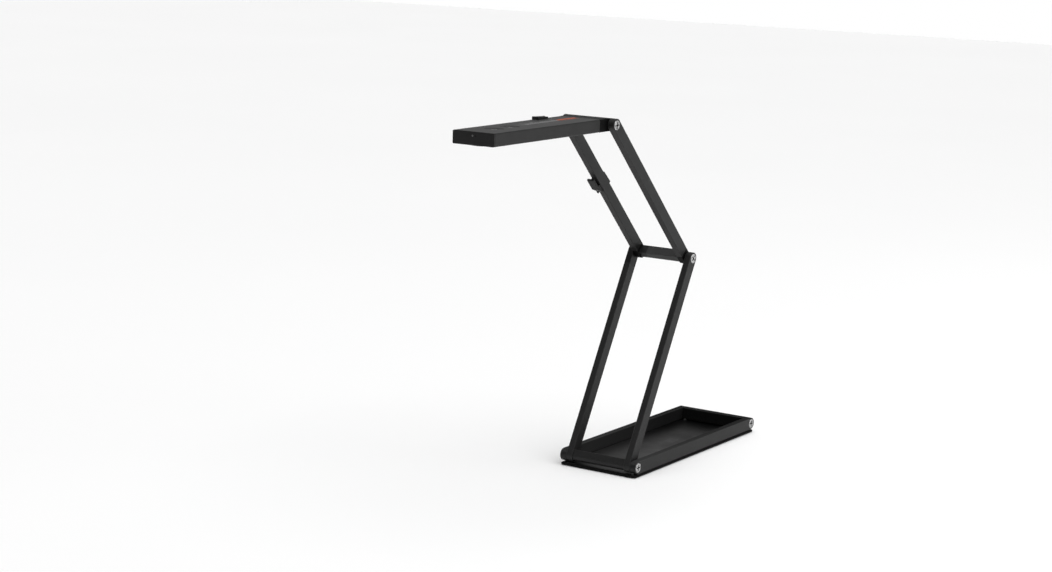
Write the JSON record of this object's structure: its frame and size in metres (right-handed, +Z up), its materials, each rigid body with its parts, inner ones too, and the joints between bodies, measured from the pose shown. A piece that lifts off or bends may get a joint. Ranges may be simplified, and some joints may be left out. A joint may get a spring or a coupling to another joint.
{
  "type": "document camera",
  "caption": "Folding document camera: flat weighted base, nested two-section arm and a slim camera head that tilts, turns and folds flat into the base.",
  "frame": {"origin": "centre of the base's underside, on the surface that it stands on", "axes": "-X the way the head reaches out over the page, +X the rear end of the base, -Y the near side, +Z up"},
  "size_m": [0.4841, 0.089, 0.3635],
  "materials": {
    "anodised_bars": "satin black anodised, fine grain",
    "base_steel": "black powder coat",
    "rubber_sheet": "matte, fine texture",
    "tray_plastic": "polished black",
    "hinge_plastic": "black glass-filled nylon",
    "head_shell": "satin black",
    "cap_plastic": "fine black texture",
    "button_plastic": "satin black",
    "clip_plastic": "moulded black",
    "screw_chrome": "bright",
    "zinc_steel": "plain",
    "friction_polymer": "black acetal",
    "post_plastic": "moulded black",
    "lens_glass": "coated",
    "lens_metal": "flat black",
    "clear_plastic": "frosted",
    "circuit_board": "solder mask",
    "chip": "silicon and moulding",
    "socket_steel": "plated",
    "ribbon_film": "polyimide film"
  },
  "bodies": {
    "base": {"anti_slip_sheet": "rubber_sheet", "base_plate": "base_steel", "tray_floor": "tray_plastic", "base_rail_near": "anodised_bars", "base_rail_far": "anodised_bars", "base_rear_bar": "anodised_bars", "base_rear_screws": "screw_chrome", "base_rear_washers": "zinc_steel", "base_plate_screws": "zinc_steel"},
    "lower_arm": {"lower_bar_near": "anodised_bars", "lower_bar_far": "anodised_bars", "lower_cross_bar": "anodised_bars", "base_pivot_screws": "screw_chrome", "base_spring_washers": "zinc_steel", "base_friction_washers": "friction_polymer"},
    "upper_arm": {"upper_bar_near": "anodised_bars", "upper_bar_far": "anodised_bars", "middle_knuckles": "hinge_plastic", "upper_cross_bar": "anodised_bars", "middle_pivot_screws": "screw_chrome", "middle_spring_washers": "zinc_steel", "middle_friction_washers": "friction_polymer"},
    "head_axle": {"head_axle": "zinc_steel", "head_pivot_screws": "screw_chrome", "head_spring_washers": "zinc_steel", "head_friction_washers": "friction_polymer"},
    "head_yoke": {"head_hinge_block": "hinge_plastic", "swivel_shaft": "zinc_steel", "swivel_friction_ring": "friction_polymer", "swivel_retainer": "zinc_steel"},
    "head": {"head_top_shell": "head_shell", "head_bottom_cover": "head_shell", "head_front_cap": "cap_plastic", "head_rear_cap": "hinge_plastic", "status_light_pipe": "clear_plastic", "microphone": "post_plastic", "cover_screws": "zinc_steel", "screw_posts": "post_plastic", "lens_bezel": "cap_plastic", "light_diffuser": "clear_plastic", "light_board": "circuit_board", "lens_barrel": "lens_metal", "lens_glass": "lens_glass", "image_sensor": "chip", "camera_board": "circuit_board", "main_board": "circuit_board", "tact_switches": "chip", "usb_socket": "socket_steel", "ribbon_cable": "ribbon_film"},
    "power_button": {"power_button": "button_plastic"},
    "light_button": {"light_button": "button_plastic"},
    "arm_clip": {"arm_cable_clip": "clip_plastic"},
    "head_clip": {"head_cable_clip": "clip_plastic"}
  },
  "joints": [
    {"name": "base_hinge", "type": "hinge", "parent": "base", "child": "lower_arm", "pos_m": [-0.12, 0, 0.0104], "axis": [0, 1, 0], "range_deg": [-28.7, 61.3]},
    {"name": "middle_hinge", "type": "hinge", "parent": "lower_arm", "child": "upper_arm", "pos_m": [-0.01195, 0, 0.20776], "axis": [0, -1, 0], "range_deg": [0, 106.1]},
    {"name": "head_fold", "type": "hinge", "parent": "upper_arm", "child": "head_axle", "pos_m": [-0.1599, 0, 0.35467], "axis": [0, 1, 0], "range_deg": [0, 224.8]},
    {"name": "head_tilt", "type": "hinge", "parent": "head_axle", "child": "head_yoke", "pos_m": [-0.1599, 0, 0.35467], "axis": [0, 1, 0], "range_deg": [-45, 0]},
    {"name": "head_roll", "type": "hinge", "parent": "head_yoke", "child": "head", "pos_m": [-0.17989, 0, 0.35467], "axis": [-1, 0, 0], "range_deg": [0, 180]},
    {"name": "power_press", "type": "slide", "parent": "head", "child": "power_button", "axis": [0, 0, -1], "range_m": [0, 0.0006], "stiffness_N_per_m": 900},
    {"name": "light_press", "type": "slide", "parent": "head", "child": "light_button", "axis": [0, 0, -1], "range_m": [0, 0.0006], "stiffness_N_per_m": 900},
    {"name": "arm_clip_pull", "type": "slide", "parent": "upper_arm", "child": "arm_clip", "axis": [0, 1, 0], "range_m": [0, 0.024]},
    {"name": "head_clip_pull", "type": "slide", "parent": "head", "child": "head_clip", "axis": [0, 1, 0], "range_m": [0, 0.032]}
  ],
  "couplings": [
    {"joint": "head_fold", "follows": "middle_hinge", "ratio": 2.1187},
    {"joint": "arm_clip_pull", "follows": "middle_hinge", "m_per_rad": 0.01296},
    {"joint": "head_clip_pull", "follows": "middle_hinge", "m_per_rad": 0.01728}
  ]
}
